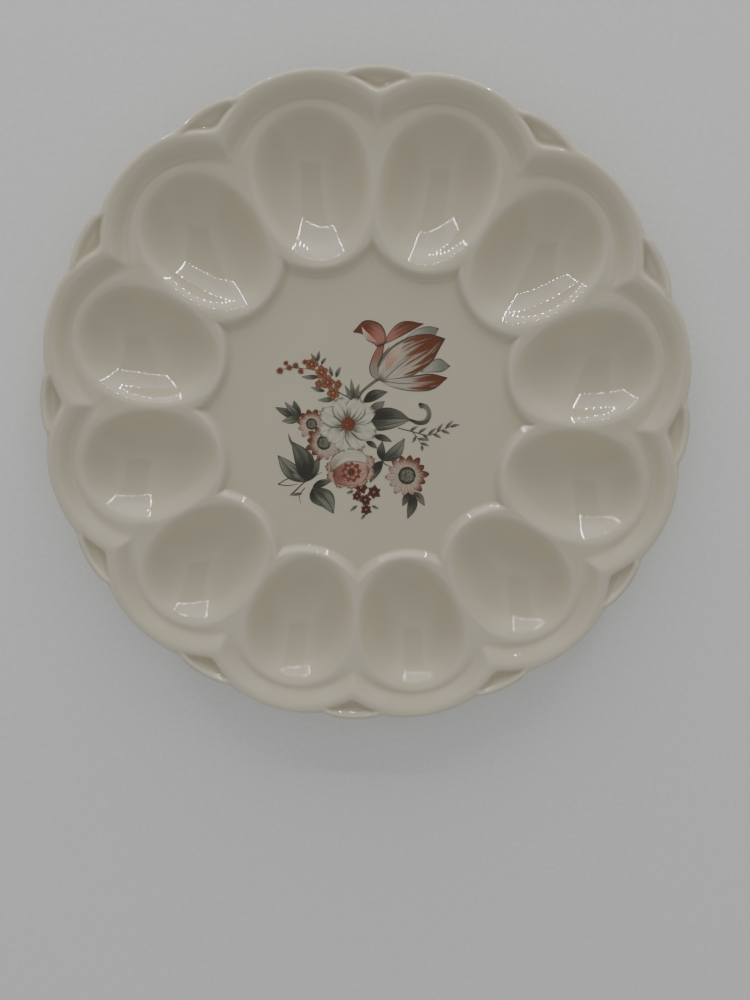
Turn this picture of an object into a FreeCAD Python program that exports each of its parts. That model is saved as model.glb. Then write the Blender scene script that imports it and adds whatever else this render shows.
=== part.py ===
import FreeCAD, Part
import math
import os

import Sketcher

# Egg holder tray: a round ceramic dish with twelve egg-shaped wells, a scalloped rim and a
# flower bouquet fired onto its flat middle. It lies on its foot ring, +Z up, with the origin
# at the middle of the foot plane. The tray's own frame has a well on its x axis; its placement
# turns it by half a sector, so that small rim leaves lie on the part's x and y axes.

SIZES = {  # millimetres and degrees
    # Levels above the foot plane
    "floor_z": 16.5,  # flat middle
    "ridge_z": 19.5,  # crest of the petals round the wells
    "facet_z": 21.2,  # small leaves between the lobes
    "lip_z": 23.5,  # top of the rim
    "floor_under_z": 11.8,
    "ridge_under_z": 14.4,
    "lip_under_z": 18.8,
    "wide_z": 22.5,  # widest level of the egg shape that makes each well
    "cup_top_z": 15.6,  # where the cups leave the underside
    # Section of the plate
    "foot_inner_r": 50.6,
    "foot_outer_r": 54.2,
    "foot_inner_root_r": 48.4,
    "foot_outer_root_r": 57.0,
    "foot_level": 0.0,
    "step_under_r": 66.0,
    "step_r": 80.0,
    "rim_under_r": 124.0,
    "lip_under_r": 130.0,
    "rim_step_r": 104.0,
    "blank_r": 134.5,
    # Wells
    "well_count": 12,
    "well_middle_r": 97.0,  # where a well is widest
    "well_outer_half": 24.6,
    "well_inner_half": 35.0,
    "well_half_width": 22.6,
    "well_depth": 16.2,  # below the widest level
    # Cups that hold the wells on the underside
    "cup_share": 0.905,  # size of a well at the cups' top, as a share of its widest
    "cup_wall": 4.2,
    "cup_depth": 13.4,
    # Petal round the inner end of each well
    "petal_middle_r": 88.0,
    "petal_foot": 30.0,
    "petal_crest": 26.6,
    # Dished lobe round the outer end of each well
    "lobe_middle_r": 92.0,
    "lobe_foot": 31.2,
    "lobe_top": 38.2,
    # Outline of the rim
    "lobe_tip_r": 133.5,
    "dip_r": 131.0,
    "dip_angle": 9.4,
    "far_dip_angle": 20.6,
    "leaf_tip_r": 132.6,
    "half_sector": 15.0,
    "waste_r": 142.0,
    "leaf_root_r": 123.6,
    "leaf_cut": 8.0,
    # Fired print
    "film": 0.12,
    "daisy_petals": 13,
    "bloom_petals": 5,
    "rose_petals": 7,
    "star_points": 6,
}

HEADING = FreeCAD.Vector(0, 0, 1)


def sheet_of_sizes(doc):
    """Spreadsheet with one plain number and one alias for each driving size."""
    sheet = doc.addObject("Spreadsheet::Sheet", "sizes")
    for row, (name, value) in enumerate(SIZES.items(), start=1):
        sheet.set(f"A{row}", name)
        sheet.set(f"B{row}", str(value))
        sheet.setAlias(f"B{row}", name)
    return sheet


# Sketch points: x, y and the expression for each, or None where the point lies on an axis


def cell(name):
    return f"sizes.{name}"


def section_point(radius, level):
    """A point of the plate's section. Radius None is the turning axis."""
    if radius is None:
        return 0.0, SIZES[level], None, cell(level)
    return SIZES[radius], SIZES[level], cell(radius), cell(level)


def polar_point(radius, angle=None, sign=1):
    """A point at a radius, turned from the x axis by an angle. Angle None is the x axis."""
    reach = SIZES[radius]
    if angle is None:
        return reach, 0.0, cell(radius), None
    turn = math.radians(SIZES[angle]) * sign
    across = f"{cell(radius)} * cos({cell(angle)} * 1 deg)"
    along = f"{sign} * {cell(radius)} * sin({cell(angle)} * 1 deg)"
    return reach * math.cos(turn), reach * math.sin(turn), across, along


def pin(sketch, element, end, point):
    """Fixes one end of a sketch element at a point, through the sheet."""
    x, y, x_text, y_text = point
    for kind, value, text, axis in (("DistanceX", x, x_text, -2), ("DistanceY", y, y_text, -1)):
        if text is None:
            sketch.addConstraint(Sketcher.Constraint("PointOnObject", element, end, axis))
        else:
            rule = sketch.addConstraint(
                Sketcher.Constraint(kind, -1, 1, element, end, value)
            )
            sketch.setExpression(f"Constraints[{rule}]", text)


def end_at(element, x, y):
    """Which end of a sketch element lies at a place: 1 for its start, 2 for its end."""
    return 1 if element.StartPoint.distanceToPoint(FreeCAD.Vector(x, y, 0)) < 0.001 else 2


def closed_outline(sketch, steps):
    """Draws a closed outline from (corner, point that the arc to the next corner passes)."""
    corners = [corner for corner, _ in steps]
    elements = []
    for index, (corner, through) in enumerate(steps):
        following = corners[(index + 1) % len(corners)]
        first = FreeCAD.Vector(corner[0], corner[1], 0)
        last = FreeCAD.Vector(following[0], following[1], 0)
        if through is None:
            elements.append(Part.LineSegment(first, last))
        else:
            middle = FreeCAD.Vector(through[0], through[1], 0)
            elements.append(Part.Arc(first, middle, last))
    for element in elements:
        sketch.addGeometry(element)
    for index, (corner, through) in enumerate(steps):
        before = index - 1 if index else len(steps) - 1
        here = end_at(sketch.Geometry[index], corner[0], corner[1])
        other = end_at(sketch.Geometry[before], corner[0], corner[1])
        sketch.addConstraint(Sketcher.Constraint("Coincident", before, other, index, here))
        pin(sketch, index, here, corner)
        if through is not None:
            spot = Part.Point(FreeCAD.Vector(through[0], through[1], 0))
            mark = sketch.addGeometry(spot, True)
            sketch.addConstraint(Sketcher.Constraint("PointOnObject", mark, 1, index))
            pin(sketch, mark, 1, through)


# Features of a body


def origin_of(body, role):
    return next(item for item in body.Origin.OriginFeatures if item.Role == role)


def sketch_in(body, name, plane="XY_Plane"):
    sketch = body.newObject("Sketcher::SketchObject", name)
    sketch.AttachmentSupport = [(origin_of(body, plane), "")]
    sketch.MapMode = "FlatFace"
    return sketch


def primitive_in(body, kind, name, radius, level, sizes, turn=0):
    """A cone or part of an ellipsoid, at a radius on the x axis and at a level."""
    solid = body.newObject(f"PartDesign::{kind}", name)
    solid.AttachmentSupport = [(origin_of(body, "XY_Plane"), "")]
    solid.MapMode = "FlatFace"
    place = FreeCAD.Vector(SIZES[radius], 0, SIZES[level])
    solid.AttachmentOffset = FreeCAD.Placement(place, FreeCAD.Rotation(HEADING, turn))
    solid.setExpression("AttachmentOffset.Base.x", cell(radius))
    solid.setExpression("AttachmentOffset.Base.z", cell(level))
    for name_of_size, text in sizes.items():
        solid.setExpression(name_of_size, text)
    body.Document.recompute()
    return solid


def around(body, name, features, count=cell("well_count")):
    """Repeats features evenly round the z axis."""
    pattern = body.newObject("PartDesign::PolarPattern", name)
    pattern.Originals = features
    pattern.Axis = (origin_of(body, "Z_Axis"), [""])
    pattern.Angle = 360
    pattern.setExpression("Occurrences", count)
    pattern.Refine = False
    body.Tip = pattern
    body.Document.recompute()


def half_eggs(body, kind, name, level, share, wall, depth):
    """Lower halves of an egg shape: a short outer end and a long inner end, tip to tip."""
    for end, size, turn in (("outer", "well_outer_half", -90), ("inner", "well_inner_half", 90)):
        half = primitive_in(
            body,
            kind,
            f"{name}_{end}",
            "well_middle_r",
            level,
            {
                "Radius1": depth,
                "Radius2": f"{cell('well_half_width')} * {share} + {wall}",
                "Radius3": f"{cell(size)} * {share} + {wall}",
            },
            turn,
        )
        half.Angle1 = -90
        half.Angle2 = 0
        half.Angle3 = 180
        body.Document.recompute()
        around(body, f"{name}_{end}_ends", [half])


# The tray


def plate_blank(body):
    """The dish turned about its axis: flat middle, land, raised rim and foot ring."""
    sketch = sketch_in(body, "plate_section", "XZ_Plane")
    corners = [
        section_point(None, "floor_under_z"),
        section_point("foot_inner_root_r", "floor_under_z"),
        section_point("foot_inner_r", "foot_level"),
        section_point("foot_outer_r", "foot_level"),
        section_point("foot_outer_root_r", "floor_under_z"),
        section_point("step_under_r", "ridge_under_z"),
        section_point("rim_under_r", "ridge_under_z"),
        section_point("lip_under_r", "lip_under_z"),
        section_point("blank_r", "lip_under_z"),
        section_point("blank_r", "lip_z"),
        section_point("rim_step_r", "lip_z"),
        section_point("rim_step_r", "ridge_z"),
        section_point("step_r", "ridge_z"),
        section_point("step_r", "floor_z"),
        section_point(None, "floor_z"),
    ]
    closed_outline(sketch, [(corner, None) for corner in corners])
    blank = body.newObject("PartDesign::Revolution", "plate")
    blank.Profile = sketch
    blank.ReferenceAxis = (sketch, ["V_Axis"])
    blank.Angle = 360
    body.Document.recompute()


def petals(body):
    """Raised collar round the inner end of each well."""
    petal = primitive_in(
        body,
        "AdditiveCone",
        "petal",
        "petal_middle_r",
        "floor_z",
        {
            "Radius1": cell("petal_foot"),
            "Radius2": cell("petal_crest"),
            "Height": f"{cell('ridge_z')} - {cell('floor_z')}",
        },
    )
    around(body, "petals", [petal])


def lobes(body):
    """Dished inner slope of the rim round the outer end of each well."""
    lobe = primitive_in(
        body,
        "SubtractiveCone",
        "lobe",
        "lobe_middle_r",
        "ridge_z",
        {
            "Radius1": cell("lobe_foot"),
            "Radius2": cell("lobe_top"),
            "Height": f"{cell('lip_z')} - {cell('ridge_z')}",
        },
    )
    around(body, "lobes", [lobe])


def outline_waste(body):
    """Trims the rim to its broad lobes with a small leaf between each two."""
    sketch = sketch_in(body, "outline_waste_section")
    closed_outline(
        sketch,
        [
            (
                polar_point("dip_r", "far_dip_angle", -1),
                polar_point("leaf_tip_r", "half_sector", -1),
            ),
            (polar_point("dip_r", "dip_angle", -1), polar_point("lobe_tip_r")),
            (polar_point("dip_r", "dip_angle"), None),
            (polar_point("waste_r", "dip_angle"), None),
            (polar_point("waste_r", "far_dip_angle", -1), None),
        ],
    )
    waste = body.newObject("PartDesign::Pocket", "outline_waste")
    waste.Profile = sketch
    waste.Type = "ThroughAll"
    waste.Midplane = True
    body.Document.recompute()
    around(body, "scallops", [waste])


def rim_leaves(body):
    """Lowers the small leaves that show between the lobes at the rim."""
    sketch = sketch_in(body, "rim_leaf_section")
    sketch.AttachmentOffset = FreeCAD.Placement(
        FreeCAD.Vector(0, 0, SIZES["facet_z"]), FreeCAD.Rotation()
    )
    sketch.setExpression("AttachmentOffset.Base.z", cell("facet_z"))
    corners = [
        polar_point("leaf_root_r", "half_sector"),
        polar_point("dip_r", "dip_angle"),
        polar_point("waste_r", "dip_angle"),
        polar_point("waste_r", "far_dip_angle"),
        polar_point("dip_r", "far_dip_angle"),
    ]
    closed_outline(sketch, [(corner, None) for corner in corners])
    cut = body.newObject("PartDesign::Pocket", "rim_leaf")
    cut.Profile = sketch
    cut.Reversed = True
    cut.setExpression("Length", cell("leaf_cut"))
    body.Document.recompute()
    around(body, "rim_leaves", [cut])


def tray(doc):
    body = doc.addObject("PartDesign::Body", "tray_body")
    body.Label = "tray_body"
    body.Placement = FreeCAD.Placement(
        FreeCAD.Vector(), FreeCAD.Rotation(HEADING, SIZES["half_sector"])
    )
    plate_blank(body)
    petals(body)
    lobes(body)
    rim_leaves(body)
    outline_waste(body)
    half_eggs(
        body,
        "AdditiveEllipsoid",
        "cup",
        "cup_top_z",
        cell("cup_share"),
        cell("cup_wall"),
        cell("cup_depth"),
    )
    half_eggs(body, "SubtractiveEllipsoid", "well", "wide_z", "1", "0", cell("well_depth"))
    return body


# The print: films on the flat middle, one node per motif. Places are millimetres from the
# middle of the tray, +Y towards the tulip.


def film_body(doc, name, x=0.0, y=0.0, turn=0.0):
    body = doc.addObject("PartDesign::Body", name)
    place = FreeCAD.Vector(x, y, SIZES["floor_z"])
    body.Placement = FreeCAD.Placement(place, FreeCAD.Rotation(HEADING, turn))
    body.setExpression("Placement.Base.z", cell("floor_z"))
    return body


def film_pad(body, name, elements):
    """One closed outline of a print, raised by the thickness of the film."""
    sketch = sketch_in(body, f"{name}_outline")
    for element in elements:
        sketch.addGeometry(element)
    pad = body.newObject("PartDesign::Pad", name)
    pad.Profile = sketch
    pad.setExpression("Length", cell("film"))
    return pad


def leaf_outline(base, tip, width, bow=0.0):
    """Two arcs from base to tip. Bow bends the leaf to the left of its heading."""
    start = FreeCAD.Vector(base[0], base[1], 0)
    end = FreeCAD.Vector(tip[0], tip[1], 0)
    left = HEADING.cross(end - start).normalize()
    middle = (start + end) * 0.5
    return [
        Part.Arc(start, middle + left * (bow + side * width / 2), end) for side in (-1, 1)
    ]


def spray(doc, name, leaves):
    """Leaves, petals and stems, each given as base, tip, width and bow."""
    body = film_body(doc, name)
    for index, leaf in enumerate(leaves):
        film_pad(body, f"{name}_{index}", leaf_outline(*leaf))
    doc.recompute()
    return body


def rosette(doc, name, place, reach, hub, petal_width, count, turn=0.0):
    """A flower: a round hub with petals repeated around it."""
    body = film_body(doc, name, place[0], place[1], turn)
    film_pad(body, f"{name}_hub", [Part.Circle(FreeCAD.Vector(), HEADING, hub)])
    doc.recompute()
    petal = film_pad(body, f"{name}_petal", leaf_outline((0, 0), (reach, 0), petal_width))
    doc.recompute()
    around(body, f"{name}_petals", [petal], cell(count))
    return body


def joined(doc, name, bodies):
    """Several flowers of one spray as a single group of solids."""
    group = doc.addObject("Part::MultiFuse", name)
    group.Shapes = bodies
    doc.recompute()
    return group


def below(doc, name, motif, covers):
    """A motif without the parts that lie under other motifs of the print."""
    tool = covers[0] if len(covers) == 1 else joined(doc, f"{name}_covers", covers)
    seen = doc.addObject("Part::Cut", name)
    seen.Base = motif
    seen.Tool = tool
    doc.recompute()
    return seen


def bouquet(doc):
    """All motifs of the print, from the top of the bunch down to its leaves."""
    bloom = rosette(doc, "bloom", (-6.6, -3.4), 12.6, 6.0, 12.5, "bloom_petals", 30)
    rose = below(
        doc,
        "rose_seen",
        rosette(doc, "rose", (-5.6, -21.6), 9.8, 8.2, 9.0, "rose_petals", 10),
        [bloom],
    )
    daisy = rosette(doc, "daisy", (18.8, -24.0), 9.4, 5.5, 4.2, "daisy_petals", 0)
    left_daisy = below(
        doc,
        "left_daisy_seen",
        rosette(doc, "left_daisy", (-16.6, -11.6), 8.2, 4.6, 3.8, "daisy_petals", 8),
        [bloom, rose],
    )
    small_daisy = below(
        doc,
        "small_daisy_seen",
        rosette(doc, "small_daisy", (-22.8, -3.4), 6.0, 3.2, 2.8, "daisy_petals", 5),
        [bloom, left_daisy],
    )
    tulip = spray(
        doc,
        "tulip",
        [
            ((5.0, 15.5), (30.5, 33.0), 13.0, 1.5),
            ((4.0, 15.5), (6.5, 33.0), 4.5, 3.0),
            ((6.0, 30.0), (-6.0, 34.5), 6.0, -3.5),
            ((4.5, 24.0), (22.0, 38.5), 6.5, 2.0),
            ((6.0, 15.2), (32.5, 17.5), 5.5, -1.8),
            ((16.0, 20.0), (33.5, 22.2), 5.0, 0.0),
        ],
    )
    stem = spray(doc, "tulip_stem_whole", [((-3.2, 6.0), (4.3, 15.2), 0.9, 1.0)])
    sprig = joined(
        doc,
        "sprig_whole",
        [
            rosette(doc, f"sprig_{index}", place, reach, reach * 0.45, reach * 0.8, "bloom_petals")
            for index, (place, reach) in enumerate(
                [
                    ((-14.0, 8.8), 3.2),
                    ((-15.6, 13.4), 3.2),
                    ((-18.6, 16.6), 3.2),
                    ((-22.8, 20.2), 2.8),
                    ((-28.4, 18.2), 2.4),
                    ((-31.6, 19.2), 2.4),
                    ((-35.3, 16.8), 1.6),
                ]
            )
        ],
    )
    stars = joined(
        doc,
        "stars_whole",
        [
            rosette(doc, f"star_{index}", place, reach, reach * 0.4, reach * 0.55, "star_points")
            for index, (place, reach) in enumerate(
                [((-0.2, -29.6), 3.4), ((5.0, -31.6), 3.4), ((1.4, -34.8), 2.8), ((2.2, -39.4), 2.5)]
            )
        ],
    )
    left_leaves = spray(
        doc,
        "left_leaves_whole",
        [
            ((-23.0, -28.0), (-30.0, -12.0), 7.0, 0.0),
            ((-24.0, -28.2), (-35.5, -18.0), 4.5, 0.5),
            ((-21.5, -27.0), (-18.5, -17.5), 3.2, -0.6),
            ((-24.6, -28.4), (-35.0, -30.0), 0.7, 1.6),
            ((-30.0, -34.5), (-21.0, -27.0), 0.9, -0.6),
            ((-20.5, -30.5), (-13.0, -27.0), 5.0, 0.8),
            ((-20.0, -31.2), (-11.5, -41.5), 6.0, 1.2),
            ((-20.8, -31.2), (-25.5, -38.0), 0.7, 0.8),
        ],
    )
    upper_leaves = spray(
        doc,
        "upper_leaves_whole",
        [
            ((-27.5, -1.0), (-36.5, 2.2), 2.8, -0.4),
            ((-27.2, -0.6), (-29.8, 5.0), 2.6, 0.0),
            ((-27.2, -1.4), (-34.0, -2.4), 2.4, 0.0),
            ((-20.5, 15.2), (-26.4, 15.4), 1.8, 0.0),
            ((-17.6, 8.8), (-22.2, 10.8), 2.6, 0.0),
            ((-12.5, 5.6), (-19.2, 6.2), 1.8, 0.0),
            ((-14.0, 15.6), (-10.8, 19.6), 2.2, 0.0),
            ((-4.2, 7.2), (-6.4, 14.6), 1.8, 0.0),
            ((-4.0, 7.6), (-2.4, 12.4), 1.6, 0.0),
        ],
    )
    right_leaves = spray(
        doc,
        "right_leaves_whole",
        [
            ((1.0, 3.0), (8.6, 10.6), 6.5, 1.4),
            ((3.0, -3.5), (19.0, -0.4), 8.0, 1.0),
            ((18.6, -0.4), (27.2, 2.4), 1.8, -2.0),
            ((27.0, 1.8), (22.2, 5.6), 1.6, -2.4),
            ((4.6, -8.2), (11.4, -9.6), 1.2, 0.0),
            ((15.2, -4.4), (36.5, -2.4), 0.6, -2.0),
            ((8.2, -18.0), (6.8, -10.6), 3.6, 0.0),
            ((8.6, -18.0), (17.4, -8.6), 4.4, -0.6),
            ((8.8, -19.0), (4.2, -27.0), 4.2, -1.2),
            ((8.6, -18.2), (13.4, -20.6), 0.6, 0.0),
            ((21.0, -31.0), (18.4, -36.4), 2.4, 0.0),
            ((21.4, -31.0), (26.2, -36.0), 2.4, 0.0),
            ((22.2, -34.0), (20.6, -41.6), 3.4, -0.4),
        ],
    )
    flowers = [bloom, rose, daisy, left_daisy, small_daisy, tulip, sprig, stars]
    motifs = {
        "decal_tulip": tulip,
        "decal_white_bloom": bloom,
        "decal_rose": rose,
        "decal_right_daisy": daisy,
        "decal_left_daisy": left_daisy,
        "decal_small_daisy": small_daisy,
        "decal_orange_sprig": below(doc, "sprig_seen", sprig, [bloom]),
        "decal_russet_stars": below(doc, "stars_seen", stars, [rose]),
        "decal_tulip_stem": below(doc, "stem_seen", stem, [tulip, bloom]),
        "decal_left_leaves": below(doc, "left_leaves_seen", left_leaves, flowers),
        "decal_upper_leaves": below(doc, "upper_leaves_seen", upper_leaves, flowers),
        "decal_right_leaves": below(doc, "right_leaves_seen", right_leaves, flowers),
    }
    for label, motif in motifs.items():
        motif.Label = label
    return list(motifs.values())


# The document

os.makedirs("parts", exist_ok=True)
doc = FreeCAD.newDocument("egg_holder_tray")
sheet_of_sizes(doc)
doc.recompute()
pieces = [tray(doc), *bouquet(doc)]
doc.recompute()

for item in doc.Objects:
    if "Invalid" in item.State or "Error" in item.State:
        raise RuntimeError(f"{item.Label} failed: {item.State}")
for piece in pieces:
    if piece.Shape.isNull() or not piece.Shape.isValid():
        raise RuntimeError(f"{piece.Label} has no valid shape")
    piece.Shape.exportStep(f"parts/{piece.Label}.step")
    print(f"{piece.Label}: {len(piece.Shape.Solids)} solid, {piece.Shape.Volume:.1f} mm3")
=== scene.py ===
"""Looks of the egg holder tray: one glazed ceramic dish and the flower print fired onto it."""

import logging
import math
from dataclasses import dataclass, field
from enum import Enum

import bpy
import numpy as np
from mathutils import Euler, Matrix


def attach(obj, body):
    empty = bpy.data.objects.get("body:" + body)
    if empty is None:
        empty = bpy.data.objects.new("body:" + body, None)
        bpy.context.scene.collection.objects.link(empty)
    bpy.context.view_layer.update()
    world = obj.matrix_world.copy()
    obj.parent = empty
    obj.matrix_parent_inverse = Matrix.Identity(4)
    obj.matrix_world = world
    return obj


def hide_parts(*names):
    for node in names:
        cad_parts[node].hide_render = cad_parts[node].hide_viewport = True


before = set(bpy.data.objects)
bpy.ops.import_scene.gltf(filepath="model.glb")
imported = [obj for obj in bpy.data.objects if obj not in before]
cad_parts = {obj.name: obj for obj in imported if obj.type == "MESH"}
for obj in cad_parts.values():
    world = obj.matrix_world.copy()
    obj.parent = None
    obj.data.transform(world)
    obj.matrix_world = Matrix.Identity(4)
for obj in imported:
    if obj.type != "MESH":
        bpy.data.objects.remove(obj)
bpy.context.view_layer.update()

MM = 0.001
LOG = logging.getLogger("egg_tray")
Colour = tuple[float, float, float, float]
Point = tuple[float, float]
Socket = bpy.types.NodeSocket
Tree = bpy.types.NodeTree
Thing = bpy.types.Object

# A Mix node in colour mode keeps its colours in these sockets.
MIX_FACTOR, MIX_FIRST, MIX_SECOND, MIX_RESULT = 0, 6, 7, 2


# Shared helpers


def hex_colour(code: str) -> Colour:
    """Turns an sRGB hex colour into linear red, green, blue and alpha.

    Args:
        code: Six hex digits after a hash sign.

    Returns:
        The linear colour with an alpha of one.
    """
    parts = []
    for start in (1, 3, 5):
        value = int(code[start : start + 2], 16) / 255
        parts.append(value / 12.92 if value <= 0.04045 else ((value + 0.055) / 1.055) ** 2.4)
    return (parts[0], parts[1], parts[2], 1.0)


def add_node(tree: Tree, kind: str, inputs: dict, stops: tuple = (), **settings) -> bpy.types.Node:
    """Adds a node with its settings and fills or links its inputs.

    Args:
        tree: The node tree that the node joins.
        kind: Blender's name of the node type, after "ShaderNode".
        inputs: Input name or number to a value, or to the output socket that feeds it.
        stops: Position and colour of each stop, for a node with a colour ramp.
        settings: Properties of the node itself, such as its operation.

    Returns:
        The new node.
    """
    node = tree.nodes.new("ShaderNode" + kind)
    for name, value in settings.items():
        setattr(node, name, value)
    if stops:
        elements = node.color_ramp.elements
        while len(elements) < len(stops):
            elements.new(1.0)
        for element, (position, colour) in zip(elements, stops, strict=True):
            element.position = position
            element.color = colour
    for name, value in inputs.items():
        if isinstance(value, Socket):
            tree.links.new(value, node.inputs[name])
        else:
            node.inputs[name].default_value = value
    return node


def math_step(tree: Tree, operation: str, *values) -> Socket:
    """One arithmetic step on sockets or numbers."""
    return add_node(tree, "Math", dict(enumerate(values)), operation=operation).outputs["Value"]


def mix_colours(tree: Tree, share: Socket, first: Socket, second: Socket | Colour) -> Socket:
    """Runs from the first colour to the second as the share goes from 0 to 1."""
    inputs = {MIX_FACTOR: share, MIX_FIRST: first, MIX_SECOND: second}
    return add_node(tree, "Mix", inputs, data_type="RGBA").outputs[MIX_RESULT]


def remap(
    tree: Tree,
    value: Socket,
    before: tuple[float, float],
    after: tuple[float, float] = (0.0, 1.0),
    curve: str = "LINEAR",
) -> Socket:
    """Maps one range of values onto another and stops at its ends.

    Args:
        tree: The material's node tree.
        value: The value to map.
        before: Start and end of its own range.
        after: What these two become.
        curve: Blender's name of the way between them.

    Returns:
        The mapped value.
    """
    ranges = {"From Min": before[0], "From Max": before[1], "To Min": after[0], "To Max": after[1]}
    node = add_node(tree, "MapRange", {"Value": value, **ranges}, interpolation_type=curve)
    return node.outputs["Result"]


def ramp(tree: Tree, share: Socket, *stops: tuple[float, Colour]) -> Socket:
    """Colour that runs through the stops as the share grows."""
    return add_node(tree, "ValToRGB", {"Fac": share}, stops).outputs["Color"]


def noise(tree: Tree, place: Socket, size_mm: float, detail: float = 2.0) -> Socket:
    """Cloudy pattern with patches of a real size."""
    inputs = {"Vector": place, "Scale": 1 / (size_mm * MM), "Detail": detail}
    return add_node(tree, "TexNoise", inputs).outputs["Fac"]


def cells(tree: Tree, place: Socket, size_mm: float) -> Socket:
    """Distance from the middle of scattered cells of a real size, in cells."""
    inputs = {"Vector": place, "Scale": 1 / (size_mm * MM)}
    return add_node(tree, "TexVoronoi", inputs).outputs["Distance"]


def relief(tree: Tree, height: Socket, depth_mm: float, strength: float = 1.0) -> Socket:
    """Surface direction over a fine relief of a real depth."""
    inputs = {"Height": height, "Distance": depth_mm * MM, "Strength": strength}
    return add_node(tree, "Bump", inputs).outputs["Normal"]


def attribute(tree: Tree, name: str, socket: str = "Fac") -> Socket:
    """Reads what the mesh stores at its vertices."""
    return add_node(tree, "Attribute", {}, attribute_name=name).outputs[socket]


def new_material(name: str) -> tuple[bpy.types.Material, Tree, Socket]:
    """Makes an empty node material.

    Args:
        name: The material's name.

    Returns:
        The material, its node tree and the place on the object, in metres.
    """
    material = bpy.data.materials.new(name)
    material.use_nodes = True
    tree = material.node_tree
    tree.nodes.clear()
    return material, tree, add_node(tree, "TexCoord", {}).outputs["Object"]


def finish_surface(tree: Tree, inputs: dict) -> None:
    """Ends a material with a Principled shader that takes these inputs on its surface."""
    shader = add_node(tree, "BsdfPrincipled", inputs)
    add_node(tree, "OutputMaterial", {"Surface": shader.outputs["BSDF"]})


def smooth_step(value: np.ndarray) -> np.ndarray:
    """Eases a value from 0 to 1, level at both ends."""
    clamped = np.clip(value, 0.0, 1.0)
    return clamped * clamped * (3 - 2 * clamped)


def soft_min(one: np.ndarray, two: np.ndarray, blend: float) -> np.ndarray:
    """Lower of two surfaces, with the edge between them rounded.

    Args:
        one: Heights of the first surface.
        two: Heights of the second surface.
        blend: Height over which the two melt into each other.

    Returns:
        The joined heights.
    """
    share = np.clip(0.5 + (two - one) / (2 * blend), 0.0, 1.0)
    return two * (1 - share) + one * share - blend * share * (1 - share)


def soft_max(one: np.ndarray, two: np.ndarray, blend: float) -> np.ndarray:
    """Higher of two surfaces, with the valley between them rounded."""
    return -soft_min(-one, -two, blend)


def mesh_object(name: str, points: np.ndarray, faces: list) -> Thing:
    """Makes a smooth-shaded mesh object from points in millimetres.

    Args:
        name: Name of the object and its mesh.
        points: One row of x, y and z per vertex, in millimetres.
        faces: Vertex numbers of each face.

    Returns:
        The object, linked to the scene.
    """
    mesh = bpy.data.meshes.new(name)
    mesh.from_pydata((points * MM).tolist(), [], faces)
    mesh.shade_smooth()
    thing = bpy.data.objects.new(name, mesh)
    bpy.context.scene.collection.objects.link(thing)
    return thing


def set_attribute(thing: Thing, name: str, values: np.ndarray) -> None:
    """Stores one number per vertex, for the material to read."""
    layer = thing.data.attributes.new(name, "FLOAT", "POINT")
    layer.data.foreach_set("value", np.asarray(values, dtype=np.float32))


# Finishes


@dataclass(frozen=True)
class CreamGlaze:
    """Earthenware under a clear cream glaze, fired glossy.

    The eye sees a warm white body through a glassy skin: sharp small reflections that waver
    where the glaze ran, a deeper tone where it pooled, a paler one where it ran thin over the
    crests, and a few dark specks of iron. The foot was wiped and shows dry clay.
    """

    body: str = "#D0C6AF"
    thin: str = "#D8D0BC"
    pooled: str = "#CAC0A8"
    speck: str = "#4A3B2C"
    dry_clay: str = "#CDB899"
    damp_clay: str = "#BFA785"
    skin_ior: float = 1.56
    skin_roughness: float = 0.03
    cloud_mm: float = 34.0
    ripple_mm: float = 9.0
    ripple_depth_mm: float = 0.05
    speck_spacing_mm: float = 26.0
    grit_mm: float = 0.5
    wiped_height_mm: float = 0.9
    wipe_mm: float = 3.0
    wipe_wander_mm: float = 0.8
    wipe_fade_mm: float = 0.35

    def build(self) -> bpy.types.Material:
        """Builds the material."""
        material, tree, place = new_material("cream_glazed_earthenware")
        glazed = self.glazed_share(tree, place)
        grit = noise(tree, place, self.grit_mm, 4.0)
        dry_stops = ((0.3, hex_colour(self.damp_clay)), (0.7, hex_colour(self.dry_clay)))
        clay = ramp(tree, grit, *dry_stops)
        skin = relief(tree, noise(tree, place, self.ripple_mm, 1.5), self.ripple_depth_mm)
        finish_surface(
            tree,
            {
                "Base Color": mix_colours(tree, glazed, clay, self.glaze_colour(tree, place)),
                "Roughness": remap(tree, glazed, (0.0, 1.0), (0.85, 0.30)),
                "Coat Weight": glazed,
                "Coat Roughness": self.skin_roughness,
                "Coat IOR": self.skin_ior,
                "Specular IOR Level": 0.0,
                "Normal": skin,
                "Coat Normal": skin,
            },
        )
        return material

    def glaze_colour(self, tree: Tree, place: Socket) -> Socket:
        """Colour through the glaze, by how thick it lies, with iron specks.

        Args:
            tree: The material's node tree.
            place: Position on the object, in metres.

        Returns:
            The colour socket.
        """
        cloud = noise(tree, place, self.cloud_mm, 3.0)
        depth = math_step(tree, "MULTIPLY_ADD", cloud, 0.34, attribute(tree, "pool"))
        tone = ramp(
            tree,
            depth,
            (0.25, hex_colour(self.thin)),
            (0.65, hex_colour(self.body)),
            (1.0, hex_colour(self.pooled)),
        )
        spot = remap(tree, cells(tree, place, self.speck_spacing_mm), (0.013, 0.021), (0.8, 0.0))
        return mix_colours(tree, spot, tone, hex_colour(self.speck))

    def glazed_share(self, tree: Tree, place: Socket) -> Socket:
        """One where there is glaze and zero on the wiped foot, with a ragged edge.

        Args:
            tree: The material's node tree.
            place: Position on the object, in metres.

        Returns:
            The share socket.
        """
        level = add_node(tree, "SeparateXYZ", {"Vector": place}).outputs["Z"]
        ragged = noise(tree, place, self.wipe_mm)
        edge = math_step(tree, "MULTIPLY_ADD", ragged, self.wipe_wander_mm * MM, level)
        start = self.wiped_height_mm * MM
        return remap(tree, edge, (start, start + self.wipe_fade_mm * MM))


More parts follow.
